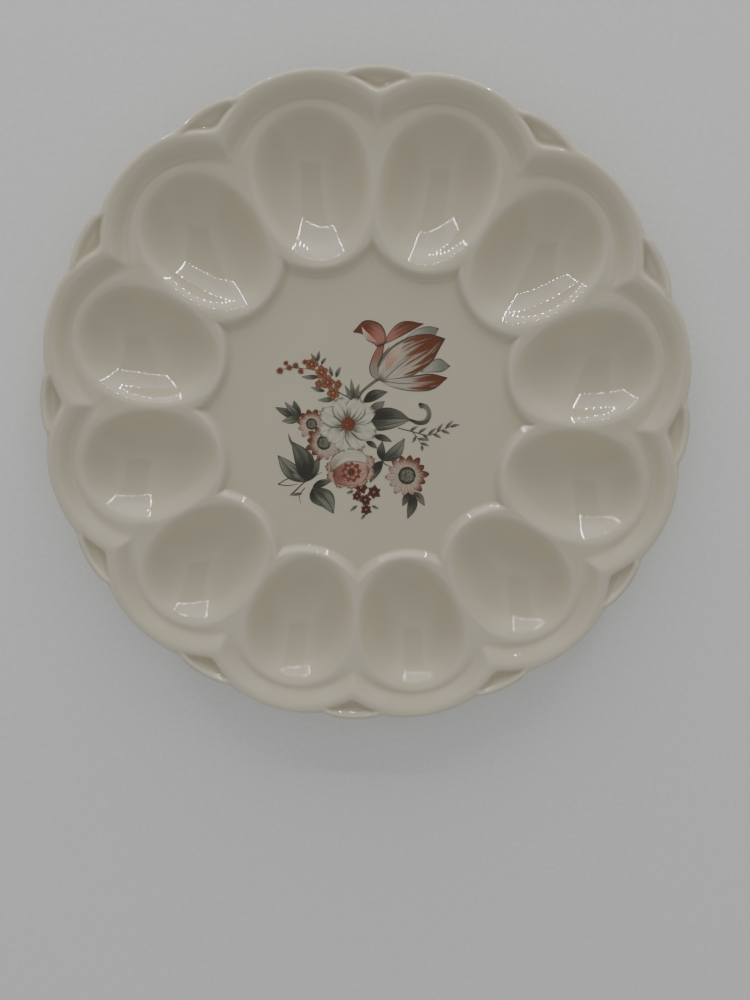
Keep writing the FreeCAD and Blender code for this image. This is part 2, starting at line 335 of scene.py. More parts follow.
@dataclass(frozen=True)
class TablePaper:
    """Matt white backdrop paper: pale, even and without any gloss."""

    sheet: str = "#F3F3F2"
    fibre: str = "#EEEEED"
    fibre_mm: float = 2.0

    def build(self) -> bpy.types.Material:
        """Builds the material."""
        material, tree, place = new_material("matt_backdrop_paper")
        pulp = noise(tree, place, self.fibre_mm)
        tone = ramp(tree, pulp, (0.35, hex_colour(self.fibre)), (0.65, hex_colour(self.sheet)))
        finish_surface(tree, {"Base Color": tone, "Roughness": 0.9})
        return material


# The ceramic tray


@dataclass
class TrayBody:
    """The fired dish as one closed skin, in millimetres.

    Its top is built up from simple forms around each of the twelve wells: a petal at the
    inner end, a dished lobe at the outer end and the bowl itself. Wells lie half a sector
    off the x axis, so each x and y axis passes between two of them.
    """

    sectors: int = 12
    columns_per_sector: int = 45
    floor: float = 16.5
    ridge: float = 19.5
    ridge_start: float = 74.0
    ridge_run: float = 6.0
    lip: float = 23.5
    lip_radius: float = 2.3
    # Bowl of a well, as the lower cap of a larger egg
    bowl_middle: float = 97.0
    bowl_outer: float = 42.3
    bowl_inner: float = 58.8
    bowl_half_width: float = 38.8
    bowl_top: float = 80.3
    bowl_bottom: float = 6.3
    bowl_edge: float = 3.2
    # Cup on the underside
    cup_wall: float = 4.0
    cup_bottom: float = 2.2
    underside: float = 14.4
    floor_underside: float = 11.8
    under_start: float = 58.0
    under_run: float = 8.0
    under_rise: float = 120.0
    # Petal round the inner end
    petal_middle: float = 88.0
    petal_foot: float = 30.2
    petal_slope: float = 4.0
    # Lobe round the outer end
    lobe_middle: float = 92.0
    lobe_foot: float = 31.2
    lobe_slope: float = 8.6
    channel_depth: float = 0.8
    channel_width: float = 2.4
    channel_in: float = 1.2
    channel_end: float = 0.35
    channel_fade: float = 0.5
    # Outline
    lobe_tip: float = 133.5
    leaf_tip: float = 133.1
    dip: float = 130.9
    dip_angle: float = 9.4
    leaf_root: float = 123.6
    leaf_low: float = 18.8
    leaf_high: float = 21.0
    leaf_run: float = 8.5
    leaf_bead: float = 1.5
    bead_width: float = 1.4
    leaf_hollow: float = 0.012
    leaf_half_width: float = 11.0
    # Heights over which neighbouring forms melt into each other
    petal_blend: float = 0.5
    dish_blend: float = 0.7
    arm_blend: float = 3.0
    lobe_blend: float = 2.2
    leaf_blend: float = 1.1
    rim_blend: float = 0.5
    cup_blend: float = 2.2
    foot_blend: float = 1.4
    # Foot ring
    foot_middle: float = 52.4
    foot_flat: float = 1.0
    foot_round: float = 0.9
    foot_side: float = 4.2

    def half_sector(self) -> float:
        """Half the angle between two wells, in radians."""
        return math.pi / self.sectors

    def fold(self, x: np.ndarray, y: np.ndarray) -> tuple[np.ndarray, np.ndarray, np.ndarray]:
        """Places points relative to their own well and to the nearest other one.

        Args:
            x: Positions along x.
            y: Positions along y.

        Returns:
            Distance along the own well's axis, distance beside it, always positive, and the
            distance from the middle of the tray.
        """
        half = self.half_sector()
        angle = np.arctan2(y, x)
        off = np.abs((angle % (2 * half)) - half)
        radius = np.hypot(x, y)
        return radius * np.cos(off), radius * np.sin(off), radius

    def neighbour(self, along: np.ndarray, beside: np.ndarray) -> tuple[np.ndarray, np.ndarray]:
        """The same points seen from the nearest other well, as along and beside its axis."""
        turn = 2 * self.half_sector()
        other_along = along * math.cos(turn) + beside * math.sin(turn)
        other_beside = along * math.sin(turn) - beside * math.cos(turn)
        return other_along, other_beside

    def cap(
        self, along: np.ndarray, beside: np.ndarray, wall: float, bottom: float
    ) -> np.ndarray:
        """Height of a well's egg-shaped cap, carried on evenly beyond its widest outline.

        Args:
            along: Distances along the well's axis.
            beside: Distances beside it.
            wall: How much wider than the well itself the cap is.
            bottom: Height of its lowest point.

        Returns:
            Heights above the foot plane.
        """
        out = along - self.bowl_middle
        reach = np.where(out >= 0, self.bowl_outer, self.bowl_inner) + wall
        share = (out / reach) ** 2 + (beside / (self.bowl_half_width + wall)) ** 2
        least = 0.03
        left = 1 - share
        root = np.sqrt(np.maximum(left, least))
        beyond = np.maximum(least - left, 0) / (2 * math.sqrt(least))
        return self.bowl_top - (self.bowl_top - bottom) * (root - beyond)

    def petal(self, along: np.ndarray, beside: np.ndarray) -> np.ndarray:
        """Height of the raised petal round a well's inner end."""
        away = np.hypot(along - self.petal_middle, beside)
        raised = smooth_step((self.petal_foot - away) / self.petal_slope)
        return self.floor + (self.ridge - self.floor) * raised

    def dish(self, along: np.ndarray, beside: np.ndarray) -> np.ndarray:
        """Rise from the channel round a well to the top of the rim."""
        away = np.hypot(np.maximum(along - self.lobe_middle, 0), beside) - self.lobe_foot
        climb = smooth_step(away / self.lobe_slope) * (self.lip - self.ridge)
        outwards = np.maximum(along - self.lobe_middle, 0) / (away + self.lobe_foot + 0.01)
        dip = self.channel_depth * np.exp(-(((away - self.channel_in) / self.channel_width) ** 2))
        return climb - dip * smooth_step((outwards - self.channel_end) / self.channel_fade)

    def arc_through(self, tip: float, edge: float, angle: float) -> tuple[float, float]:
        """Circle on an axis from its tip and the radius where it ends at an angle.

        Args:
            tip: Distance of the tip from the middle of the tray.
            edge: Distance of the end point from the middle of the tray.
            angle: Angle of the end point from the axis, in degrees.

        Returns:
            The distance of the circle's middle and its radius.
        """
        half_chord = edge * math.sin(math.radians(angle))
        height = tip - edge * math.cos(math.radians(angle))
        radius = (half_chord**2 + height**2) / (2 * height)
        return tip - radius, radius

    def rim(self, off: np.ndarray) -> np.ndarray:
        """Radius of the tray's outline at angles from the nearest well's axis."""
        half = self.half_sector()
        reaches = []
        leaf_angle = math.degrees(half) - self.dip_angle
        for turn, tip, angle in (
            (off, self.lobe_tip, self.dip_angle),
            (half - off, self.leaf_tip, leaf_angle),
        ):
            middle, radius = self.arc_through(tip, self.dip, angle)
            reaches.append(
                middle * np.cos(turn) + np.sqrt(radius**2 - (middle * np.sin(turn)) ** 2)
            )
        return soft_max(reaches[0], reaches[1], self.rim_blend)

    def outside_lobe(self, along: np.ndarray, beside: np.ndarray) -> np.ndarray:
        """Distance outside a lobe's own outline: its arc and the arm down to the leaf's root."""
        middle, radius = self.arc_through(self.lobe_tip, self.dip, self.dip_angle)
        over_arc = np.hypot(np.maximum(along - middle, 0), beside) - radius
        dip_angle = math.radians(self.dip_angle)
        dip_along = self.dip * math.cos(dip_angle)
        dip_beside = self.dip * math.sin(dip_angle)
        root_along = self.leaf_root * math.cos(self.half_sector())
        root_beside = self.leaf_root * math.sin(self.half_sector())
        length = math.hypot(root_along - dip_along, root_beside - dip_beside)
        out_along = (root_beside - dip_beside) / length
        out_beside = (dip_along - root_along) / length
        over_arm = (along - dip_along) * out_along + (beside - dip_beside) * out_beside
        return soft_max(over_arc, over_arm, self.arm_blend)

    def roll(self, outside: np.ndarray) -> np.ndarray:
        """Drop of a lip's rounded shoulder, from its crest outwards."""
        reach = self.lip_radius
        limit = 0.86
        over = np.clip((outside + reach) / reach, 0.0, None)
        round_part = 1 - np.sqrt(1 - np.minimum(over, limit) ** 2)
        slope = limit / math.sqrt(1 - limit**2)
        return reach * (round_part + slope * np.maximum(over - limit, 0.0))

    def leaf(self, off_axis: np.ndarray, radius: np.ndarray) -> np.ndarray:
        """Height of the small dished leaf that shows between two lobes."""
        turn = self.half_sector() - off_axis
        along = radius * np.cos(turn)
        beside = radius * np.sin(turn)
        climb = smooth_step((along - self.leaf_root + 1.0) / self.leaf_run)
        dished = self.leaf_hollow * np.minimum(beside**2, self.leaf_half_width**2)
        fall = 3.0 * np.maximum(np.abs(beside) - self.leaf_half_width, 0)
        fall = fall + 1.5 * np.maximum(self.leaf_root - 2.0 - along, 0)
        in_from_edge = self.rim(off_axis) - radius - self.lip_radius
        bead = self.leaf_bead * np.exp(-((in_from_edge / self.bead_width) ** 2))
        return self.leaf_low + (self.leaf_high - self.leaf_low) * climb + dished - fall + bead

    def top(self, x: np.ndarray, y: np.ndarray) -> np.ndarray:
        """Height of the upper surface.

        Args:
            x: Positions along x.
            y: Positions along y.

        Returns:
            Heights above the foot plane.
        """
        along, beside, radius = self.fold(x, y)
        own, far = (along, beside), self.neighbour(along, beside)
        land = soft_max(self.petal(*own), self.petal(*far), self.petal_blend)
        outer = smooth_step((radius - self.ridge_start) / self.ridge_run)
        land = np.maximum(land, self.floor + (self.ridge - self.floor) * outer)
        rise = soft_min(self.dish(*own), self.dish(*far), self.dish_blend)
        outside = soft_min(self.outside_lobe(*own), self.outside_lobe(*far), self.lobe_blend)
        lobes = land + rise - self.roll(outside)
        leaf = self.leaf(np.arctan2(beside, along), radius)
        height = soft_max(lobes, leaf, self.leaf_blend)
        for place in (own, far):
            height = soft_min(height, self.cap(*place, 0.0, self.bowl_bottom), self.bowl_edge)
        return height

    def bottom(self, x: np.ndarray, y: np.ndarray, rim_level: np.ndarray) -> np.ndarray:
        """Height of the underside.

        Args:
            x: Positions along x.
            y: Positions along y.
            rim_level: Height where the underside meets the rounded rim.

        Returns:
            Heights above the foot plane.
        """
        along, beside, radius = self.fold(x, y)
        inner = smooth_step((radius - self.under_start) / self.under_run)
        height = self.floor_underside + (self.underside - self.floor_underside) * inner
        reach = self.rim(np.arctan2(beside, along)) - self.lip_radius
        outer = smooth_step((radius - self.under_rise) / (reach - self.under_rise))
        height = height + (rim_level - self.underside) * outer
        for place in ((along, beside), self.neighbour(along, beside)):
            cup = self.cap(*place, self.cup_wall, self.cup_bottom)
            height = soft_min(height, cup, self.cup_blend)
        return soft_min(height, self.foot(radius), self.foot_blend)

    def foot(self, radius: np.ndarray) -> np.ndarray:
        """Height of the foot ring's surface, rising steeply on both sides."""
        away = np.abs(radius - self.foot_middle)
        over = np.clip((away - self.foot_flat) / self.foot_round, 0.0, 1.0)
        toe = self.foot_round * (1 - np.sqrt(np.maximum(1 - over**2, 0.0)))
        side = np.maximum(away - self.foot_flat - self.foot_round, 0.0)
        return toe + side * self.foot_side

    def ring_radii(self) -> tuple[np.ndarray, np.ndarray]:
        """Radii of the rings of vertices on the top and on the underside, inside the rim."""
        top = np.concatenate(
            [
                np.arange(7.0, 55.0, 8.0),
                np.arange(55.0, 70.0, 0.62),
                np.arange(70.0, 112.0, 1.25),
                np.arange(112.0, 124.0, 0.72),
            ]
        )
        offsets = np.array([0.5, 1.0, 1.35, 1.65, 1.8, 1.9, 2.4, 3.0, 3.6, 4.1, 4.6, 5.3, 6.2])
        foot = np.concatenate([self.foot_middle + offsets[::-1], self.foot_middle - offsets])
        under = np.concatenate([np.arange(121.5, 60.0, -1.5), foot, np.arange(44.0, 4.0, -9.0)])
        return top, under

    def columns(self) -> np.ndarray:
        """Angles of the columns of vertices, closer together between the wells."""
        step = np.arange(self.columns_per_sector) / self.columns_per_sector
        eased = step - 0.05 * np.sin(4 * math.pi * step) / 2
        sector = 2 * self.half_sector()
        return np.concatenate([(turn + eased) * sector for turn in range(self.sectors)])

    def rings(self) -> list[np.ndarray]:
        """All rings of vertices, from the middle of the top round the rim to the underside."""
        angles = self.columns()
        unit = np.stack([np.cos(angles), np.sin(angles)], axis=1)
        off = np.abs((angles % (2 * self.half_sector())) - self.half_sector())
        edge = self.rim(off) - self.lip_radius
        top_radii, under_radii = self.ring_radii()
        rings = []
        for radius in top_radii:
            flat = unit * radius
            rings.append(np.column_stack([flat, self.top(flat[:, 0], flat[:, 1])]))
        for share in np.linspace(0.0, 1.0, 11)[:-1]:
            radius = 124.0 + (edge - 124.0) * share
            flat = unit * radius[:, None]
            rings.append(np.column_stack([flat, self.top(flat[:, 0], flat[:, 1])]))
        rim_flat = unit * edge[:, None]
        crest = self.top(rim_flat[:, 0], rim_flat[:, 1])
        for turn in np.linspace(0.0, math.pi, 13):
            flat = unit * (edge + self.lip_radius * math.sin(turn))[:, None]
            level = crest - self.lip_radius * (1 - math.cos(turn))
            rings.append(np.column_stack([flat, level]))
        rim_level = crest - 2 * self.lip_radius
        for share in np.linspace(0.0, 1.0, 7)[1:]:
            radius = edge + (under_radii[0] + 1.2 - edge) * share
            flat = unit * radius[:, None]
            rings.append(np.column_stack([flat, self.bottom(flat[:, 0], flat[:, 1], rim_level)]))
        for radius in under_radii:
            flat = unit * radius
            rings.append(np.column_stack([flat, self.bottom(flat[:, 0], flat[:, 1], rim_level)]))
        return rings

    def pool(self, points: np.ndarray) -> np.ndarray:
        """How thick the glaze lies: low over crests and high in hollows.

        Args:
            points: Vertices of the skin.

        Returns:
            One number from 0 to 1 per vertex.
        """
        span = 1.6
        x, y = points[:, 0], points[:, 1]
        here = self.top(x, y)
        around = sum(
            self.top(x + dx, y + dy)
            for dx, dy in ((span, 0), (-span, 0), (0, span), (0, -span))
        )
        return np.clip(0.5 + 0.6 * (around / 4 - here), 0.0, 1.0)

    def build(self) -> Thing:
        """Builds the closed skin and lets it stand for the tray's solid."""
        rings = self.rings()
        count = len(rings[0])
        middle_top = np.array([[0.0, 0.0, self.floor]])
        middle_under = np.array([[0.0, 0.0, self.floor_underside]])
        points = np.concatenate([middle_top, *rings, middle_under])
        faces = []
        following = [(step + 1) % count for step in range(count)]
        for here, after in enumerate(following):
            faces.append((0, 1 + here, 1 + after))
        for ring in range(len(rings) - 1):
            low = 1 + ring * count
            high = low + count
            for here, after in enumerate(following):
                faces.append((low + here, high + here, high + after, low + after))
        last = 1 + (len(rings) - 1) * count
        end = len(points) - 1
        for here, after in enumerate(following):
            faces.append((last + here, end, last + after))
        thing = mesh_object("glazed_dish", points, faces)
        set_attribute(thing, "pool", self.pool(points))
        thing.data.materials.append(CreamGlaze().build())
        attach(thing, "root")
        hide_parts("tray_body")
        return thing


# The fired print


class Outline(Enum):
    """Plan shapes of a petal or leaf, from its foot to its tip."""

    LANCE = "widest in the middle, pointed at both ends"
    OVAL = "rounded at both ends"
    BLUNT = "narrow foot and a broad round end"
    FRILLED = "narrow foot and a broad scalloped end"


@dataclass(frozen=True)
class Ink:
    """Enamel inks of one petal or leaf, from its foot to its tip.

    `reach` is where along it the two inks meet, `streak` how far the tip's ink runs back in
    fine lines, `edge` and `vein` how dark the drawn outline and middle line are.
    """

    foot: str
    tip: str
    reach: float = 0.55
    streak: float = 0.5
    edge: float = 0.45
    vein: float = 0.0


CHARCOAL = Ink("#33312C", "#33312C", edge=0.0)
TWIG = Ink("#4A4940", "#636256", edge=0.0)
STEM = Ink("#77786A", "#4C4D42", edge=0.85)
DEEP_LEAF = Ink("#262520", "#6C6D60", 0.55, 0.9, 0.7, 0.6)
PALE_LEAF = Ink("#434339", "#8A8B7C", 0.45, 0.9, 0.75, 0.85)
SOFT_LEAF = Ink("#5B5C50", "#858678", 0.5, 0.5, 0.6, 0.3)
TULIP_FLAME = Ink("#CDC3B0", "#71310F", 0.55, 1.0, 0.8, 0.2)
TULIP_LIP = Ink("#BE806D", "#733213", 0.42, 1.0, 0.85)
TULIP_NECK = Ink("#A89C8C", "#A8685A", 0.50, 0.9, 0.95)
TULIP_BACK = Ink("#B5B1A1", "#85877A", 0.5, 0.6, 0.65)
TULIP_BLUSH = Ink("#CFA08E", "#D8C2AE", 0.5, 0.6, 0.0)
FLAME_STREAK = Ink("#71310F", "#8F4825", 0.5, 0.6, 0.0)
BLOOM_PETAL = Ink("#6E6A5C", "#DCD5C1", 0.34, 0.7, 0.7, 0.15)
BLOOM_HUB = Ink("#6E2E18", "#8F4327", 0.5, 0.3, 0.3)
ROSE_CUP = Ink("#A39180", "#DCD1BC", 0.26, 0.6, 0.7)
ROSE_PINK = Ink("#9E5F53", "#CFA290", 0.45, 0.9, 0.75)
ROSE_HEART = Ink("#3F1008", "#8F4232", 0.50, 0.9, 0.7)
DAISY_HUB = Ink("#7B7666", "#8B8676", 0.6, 0.3, 0.95)
SPRIG_PETAL = Ink("#5F2A16", "#A2603F", 0.35, 0.8, 0.85)
STAR_PETAL = Ink("#3C1208", "#7A3618", 0.60, 0.8, 0.6)


def through(points: list[Point], count: int) -> np.ndarray:
    """Smooth curve through a few points, evenly divided.

    Args:
        points: At least two points, in millimetres.
        count: How many points to return.

    Returns:
        One row of x and y per point of the curve.
    """
    given = np.array(points, dtype=float)
    padded = np.vstack([2 * given[0] - given[1], given, 2 * given[-1] - given[-2]])
    lengths = np.concatenate([[0], np.cumsum(np.linalg.norm(np.diff(given, axis=0), axis=1))])
    places = np.linspace(0, lengths[-1], count)
    curve = np.empty((count, 2))
    for row, place in enumerate(places):
        step = min(int(np.searchsorted(lengths, place, side="right")) - 1, len(given) - 2)
        t = (place - lengths[step]) / (lengths[step + 1] - lengths[step])
        a, b, c, d = padded[step : step + 4]
        curve[row] = 0.5 * (
            2 * b + (c - a) * t + (2 * a - 5 * b + 4 * c - d) * t**2
            + (3 * b - a - 3 * c + d) * t**3
        )
    return curve


@dataclass(frozen=True)
class FiredEnamel:
    """Overglaze enamel transfer, fired until it sank into the glaze.

    The eye sees flat inks laid as very fine dots, running from one tone to another in drawn
    streaks, with thin charcoal outlines, under the same wet gloss as the glaze around them.
    """

    line: str = "#2E2C27"
    glaze: str = "#D9CFB6"
    dot_mm: float = 0.26
    dot_share: float = 0.05
    dot_depth_mm: float = 0.004
    hatch_share: float = 0.42
    skin_ior: float = 1.56
    skin_roughness: float = 0.03

    def build(self, motif: str) -> bpy.types.Material:
        """Builds the material for one motif.

        Args:
            motif: The motif's name, added to the material's.

        Returns:
            The material.
        """
        material, tree, place = new_material("fired_enamel_" + motif)
        ink = self.outlined(tree, self.inked(tree))
        dots = cells(tree, place, self.dot_mm)
        screen = remap(tree, dots, (0.1, 0.7), (0.0, self.dot_share))
        finish_surface(
            tree,
            {
                "Base Color": mix_colours(tree, screen, ink, hex_colour(self.glaze)),
                "Roughness": 0.5,
                "Specular IOR Level": 0.0,
                "Coat Weight": 1.0,
                "Coat Roughness": self.skin_roughness,
                "Coat IOR": self.skin_ior,
                "Normal": relief(tree, dots, self.dot_depth_mm, 0.5),
            },
        )
        return material

    def inked(self, tree: Tree) -> Socket:
        """Runs each petal from its foot's ink to its tip's, in streaks.

        Args:
            tree: The material's node tree.

        Returns:
            The colour socket.
        """
        along = attribute(tree, "along")
        reach = attribute(tree, "reach")
        grain = add_node(
            tree,
            "CombineXYZ",
            {
                "X": math_step(tree, "MULTIPLY", attribute(tree, "across"), 5.0),
                "Y": math_step(tree, "MULTIPLY", along, 1.1),
                "Z": attribute(tree, "seed"),
            },
        )
        lines = add_node(
            tree,
            "TexNoise",
            {"Vector": grain.outputs["Vector"], "Scale": 1.6, "Detail": 4.0, "Roughness": 0.65},
        ).outputs["Fac"]
        wander = math_step(tree, "SUBTRACT", lines, 0.5)
        length = math_step(tree, "MULTIPLY", attribute(tree, "streak"), 1.7)
        wander = math_step(tree, "MULTIPLY", wander, length)
        place = math_step(tree, "ADD", math_step(tree, "SUBTRACT", along, reach), wander)
        share = remap(tree, place, (-0.22, 0.26), curve="SMOOTHSTEP")
        foot_ink = attribute(tree, "foot_ink", "Color")
        inks = mix_colours(tree, share, foot_ink, attribute(tree, "tip_ink", "Color"))
        hatch = remap(tree, lines, (0.3, 0.68), (self.hatch_share, 0.0))
        return mix_colours(tree, hatch, inks, hex_colour(self.line))

    def outlined(self, tree: Tree, ink: Socket) -> Socket:
        """Draws the thin dark outline and the middle vein over the inks.

        Args:
            tree: The material's node tree.
            ink: Colour socket under the lines.

        Returns:
            The colour socket.
        """
        side = math_step(tree, "ABSOLUTE", attribute(tree, "across"))
        end = math_step(tree, "MULTIPLY_ADD", attribute(tree, "along"), 2.0, -1.0)
        border = math_step(tree, "MAXIMUM", side, math_step(tree, "ABSOLUTE", end))
        rim = remap(tree, border, (0.70, 0.97), curve="SMOOTHSTEP")
        outline = math_step(tree, "MULTIPLY", rim, attribute(tree, "edge"))
        middle = remap(tree, side, (0.03, 0.13), (1.0, 0.0))
        vein = math_step(tree, "MULTIPLY", middle, attribute(tree, "vein"))
        mask = math_step(tree, "MAXIMUM", outline, vein)
        return mix_colours(tree, mask, ink, hex_colour(self.line))


@dataclass
class Motif:
    """One printed motif: petals and leaves as thin enamel patches that overlap in order.

    Every patch is a closed skin that stands a few hundredths of a millimetre above the
    glaze, a little higher than the patch before it.
    """

    node: str
    layer: int
    glaze_level: float = 16.5
    layer_rise: float = 0.008
    patch_rise: float = 0.0012
    sunk: float = 0.1
    dome: float = 0.002
    rows: int = 14
    columns: int = 9
    points: list = field(default_factory=list)
    faces: list = field(default_factory=list)
    values: dict = field(default_factory=dict)
    patches: int = 0

    def blade(self, left: list[Point], right: list[Point], ink: Ink) -> None:
        """Adds a patch between two edges that both run from the foot to the tip.

        Args:
            left: Points of one edge, in millimetres.
            right: Points of the other edge.
            ink: Inks of the patch.
        """
        one = through(left, self.rows)
        two = through(right, self.rows)
        share = np.linspace(-1, 1, self.columns)
        middle = (one + two)[:, None, :] / 2
        half = (two - one)[:, None, :] / 2
        self.patch(middle + half * share[None, :, None], ink)

    def petal(
        self,
        foot: Point,
        tip: Point,
        width: float,
        ink: Ink,
        bend: float = 0.0,
        shape: Outline = Outline.LANCE,
    ) -> None:
        """Adds a patch round a straight or bent middle line.

        Args:
            foot: Where the petal starts, in millimetres.
            tip: Where it ends.
            width: Its greatest width.
            ink: Its inks.
            bend: How far the middle line bulges to the left of the way from foot to tip.
            shape: Its plan shape.
        """
        start, end = np.array(foot, dtype=float), np.array(tip, dtype=float)
        way = end - start
        side = np.array([-way[1], way[0]]) / np.linalg.norm(way)
        s = np.linspace(0, 1, self.rows)
        t = np.linspace(-1, 1, self.columns)
        spine = start + way * s[:, None] + side * (bend * np.sin(math.pi * s))[:, None]
        half = np.maximum(self.profile(shape, s), 0.04) * width / 2
        grid = spine[:, None, :] + side * (half[:, None] * t[None, :])[..., None]
        if shape in (Outline.BLUNT, Outline.FRILLED):
            fullness = 0.10 if shape is Outline.BLUNT else 0.12
            wave = np.cos(t * math.pi / 2) * fullness
            if shape is Outline.FRILLED:
                wave = wave + 0.05 * np.cos(t * math.pi * 3)
            grid = grid + way * (s[:, None] ** 3 * (wave[None, :] - fullness))[..., None]
        self.patch(grid, ink)

    def profile(self, shape: Outline, s: np.ndarray) -> np.ndarray:
        """Share of the greatest width along a petal of the given shape."""
        if shape is Outline.LANCE:
            return np.sin(math.pi * s**0.85) ** 0.9
        if shape is Outline.OVAL:
            return np.sqrt(np.maximum(1 - (2 * s - 1) ** 2, 0))
        return np.sin(math.pi * np.clip(0.06 + 0.80 * s**0.9, 0, 1) ** 1.15) ** 0.8

    def stroke(self, points: list[Point], width: float, ink: Ink) -> None:
        """Adds a line of even width that thins out at its end."""
        line = through(points, self.rows)
        way = np.gradient(line, axis=0)
        side = np.stack([-way[:, 1], way[:, 0]], axis=1)
        side = side / np.linalg.norm(side, axis=1)[:, None]
        half = width / 2 * (1 - 0.6 * np.linspace(0, 1, self.rows) ** 2)
        share = np.linspace(-1, 1, self.columns)
        grid = line[:, None, :] + side[:, None, :] * (half[:, None] * share)[..., None]
        self.patch(grid, ink)

    def patch(self, grid: np.ndarray, ink: Ink) -> None:
        """Adds one closed patch from its plan grid and stores what its material reads.

        Args:
            grid: Rows along the patch by columns across it, of x and y.
            ink: Inks of the patch.
        """
        rows, columns = grid.shape[:2]
        s = np.repeat(np.linspace(0, 1, rows), columns)
        t = np.tile(np.linspace(-1, 1, columns), rows)
        flat = grid.reshape(-1, 2)
        level = self.glaze_level + self.layer * self.layer_rise + self.patches * self.patch_rise
        top = level + self.dome * (1 - t**2)
        low = np.full_like(top, self.glaze_level - self.sunk)
        start = sum(len(block) for block in self.points)
        count = rows * columns
        self.points.append(np.column_stack([flat, top]))
        self.points.append(np.column_stack([flat, low]))
        turned = self.turned(grid)
        for row in range(rows - 1):
            for column in range(columns - 1):
                a = start + row * columns + column
                quad = (a, a + 1, a + columns + 1, a + columns)
                under = tuple(corner + count for corner in reversed(quad))
                self.add_face(quad, turned)
                self.add_face(under, turned)
        border = list(range(columns))
        border += [row * columns + columns - 1 for row in range(1, rows)]
        border += [(rows - 1) * columns + column for column in range(columns - 2, -1, -1)]
        border += [row * columns for row in range(rows - 2, 0, -1)]
        for here, after in zip(border, border[1:] + border[:1], strict=True):
            wall = (start + here, start + here + count, start + after + count, start + after)
            self.add_face(wall, turned)
        self.patches += 1
        self.store("along", np.tile(s, 2))
        self.store("across", np.tile(t, 2))
        for name in ("reach", "streak", "edge", "vein"):
            self.store(name, np.full(2 * count, getattr(ink, name)))
        self.store("seed", np.full(2 * count, 3.7 * self.patches + 11.0 * self.layer))
        self.store("foot_ink", np.tile(hex_colour(ink.foot), (2 * count, 1)))
        self.store("tip_ink", np.tile(hex_colour(ink.tip), (2 * count, 1)))

    def turned(self, grid: np.ndarray) -> bool:
        """True where the grid's quads would face down."""
        across = grid[len(grid) // 2, -1] - grid[len(grid) // 2, 0]
        along = grid[-1, 0] + grid[-1, -1] - grid[0, 0] - grid[0, -1]
        return across[0] * along[1] - across[1] * along[0] < 0

    def add_face(self, face: tuple[int, ...], turned: bool) -> None:
        """Adds a face, reversed where the patch is turned."""
        self.faces.append(tuple(reversed(face)) if turned else face)

    def store(self, name: str, values: np.ndarray) -> None:
        """Keeps values of one attribute, one block per patch."""
        self.values.setdefault(name, []).append(values)

    def ring(
        self,
        centre: Point,
        radii: tuple[float, float],
        count: int,
        shape: Outline,
        ink: Ink,
        first_deg: float = 0.0,
        width: float = 1.0,
    ) -> None:
        """Adds petals all round a middle, every other one a little shorter.

        Args:
            centre: Middle of the flower, in millimetres.
            radii: Where the petals start and end.
            count: How many petals.
            shape: Plan shape of a petal.
            ink: Inks of a petal.
            first_deg: Direction of the first petal.
            width: Width of a petal, as a share of the room that it has.
        """
        for number in range(count):
            turn = math.radians(first_deg + 360 * number / count)
            reach = radii[1] * (1.0 if number % 2 else 0.94)
            way = (math.cos(turn), math.sin(turn))
            foot = (centre[0] + way[0] * radii[0], centre[1] + way[1] * radii[0])
            tip = (centre[0] + way[0] * reach, centre[1] + way[1] * reach)
            room = 2 * math.pi * (radii[0] * 0.3 + reach * 0.7) / count
            self.petal(foot, tip, room * width, ink, shape=shape)

    def hub(self, centre: Point, radius: float, ink: Ink, dots: int, dot_ink: Ink) -> None:
        """Adds a round middle with a ring of stamen dots on it.

        Args:
            centre: Middle of the flower, in millimetres.
            radius: Radius of the hub.
            ink: Inks of the hub.
            dots: How many dots lie on it.
            dot_ink: Inks of the dots.
        """
        across = (centre[0] + radius, centre[1])
        self.petal((centre[0] - radius, centre[1]), across, 2 * radius, ink, shape=Outline.OVAL)
        golden = math.pi * (3 - math.sqrt(5))
        size = radius * 0.16
        for number in range(dots):
            away = radius * 0.92 * math.sqrt((number + 0.5) / dots)
            x = centre[0] + away * math.cos(golden * number)
            y = centre[1] + away * math.sin(golden * number)
            self.petal((x - size, y), (x + size, y), 2 * size, dot_ink, shape=Outline.OVAL)

    def build(self) -> Thing:
        """Makes the motif's mesh and lets it stand for its CAD film."""
        name = self.node.replace("decal", "print")
        thing = mesh_object(name, np.concatenate(self.points), self.faces)
        thing.data.set_sharp_from_angle(angle=math.radians(30))
        for key, blocks in self.values.items():
            values = np.concatenate(blocks)
            if values.ndim == 1:
                set_attribute(thing, key, values)
            else:
                layer = thing.data.attributes.new(key, "FLOAT_COLOR", "POINT")
                layer.data.foreach_set("color", values.astype(np.float32).ravel())
        thing.data.materials.append(FiredEnamel().build(self.node.replace("decal_", "")))
        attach(thing, "root")
        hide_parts(self.node)
        return thing


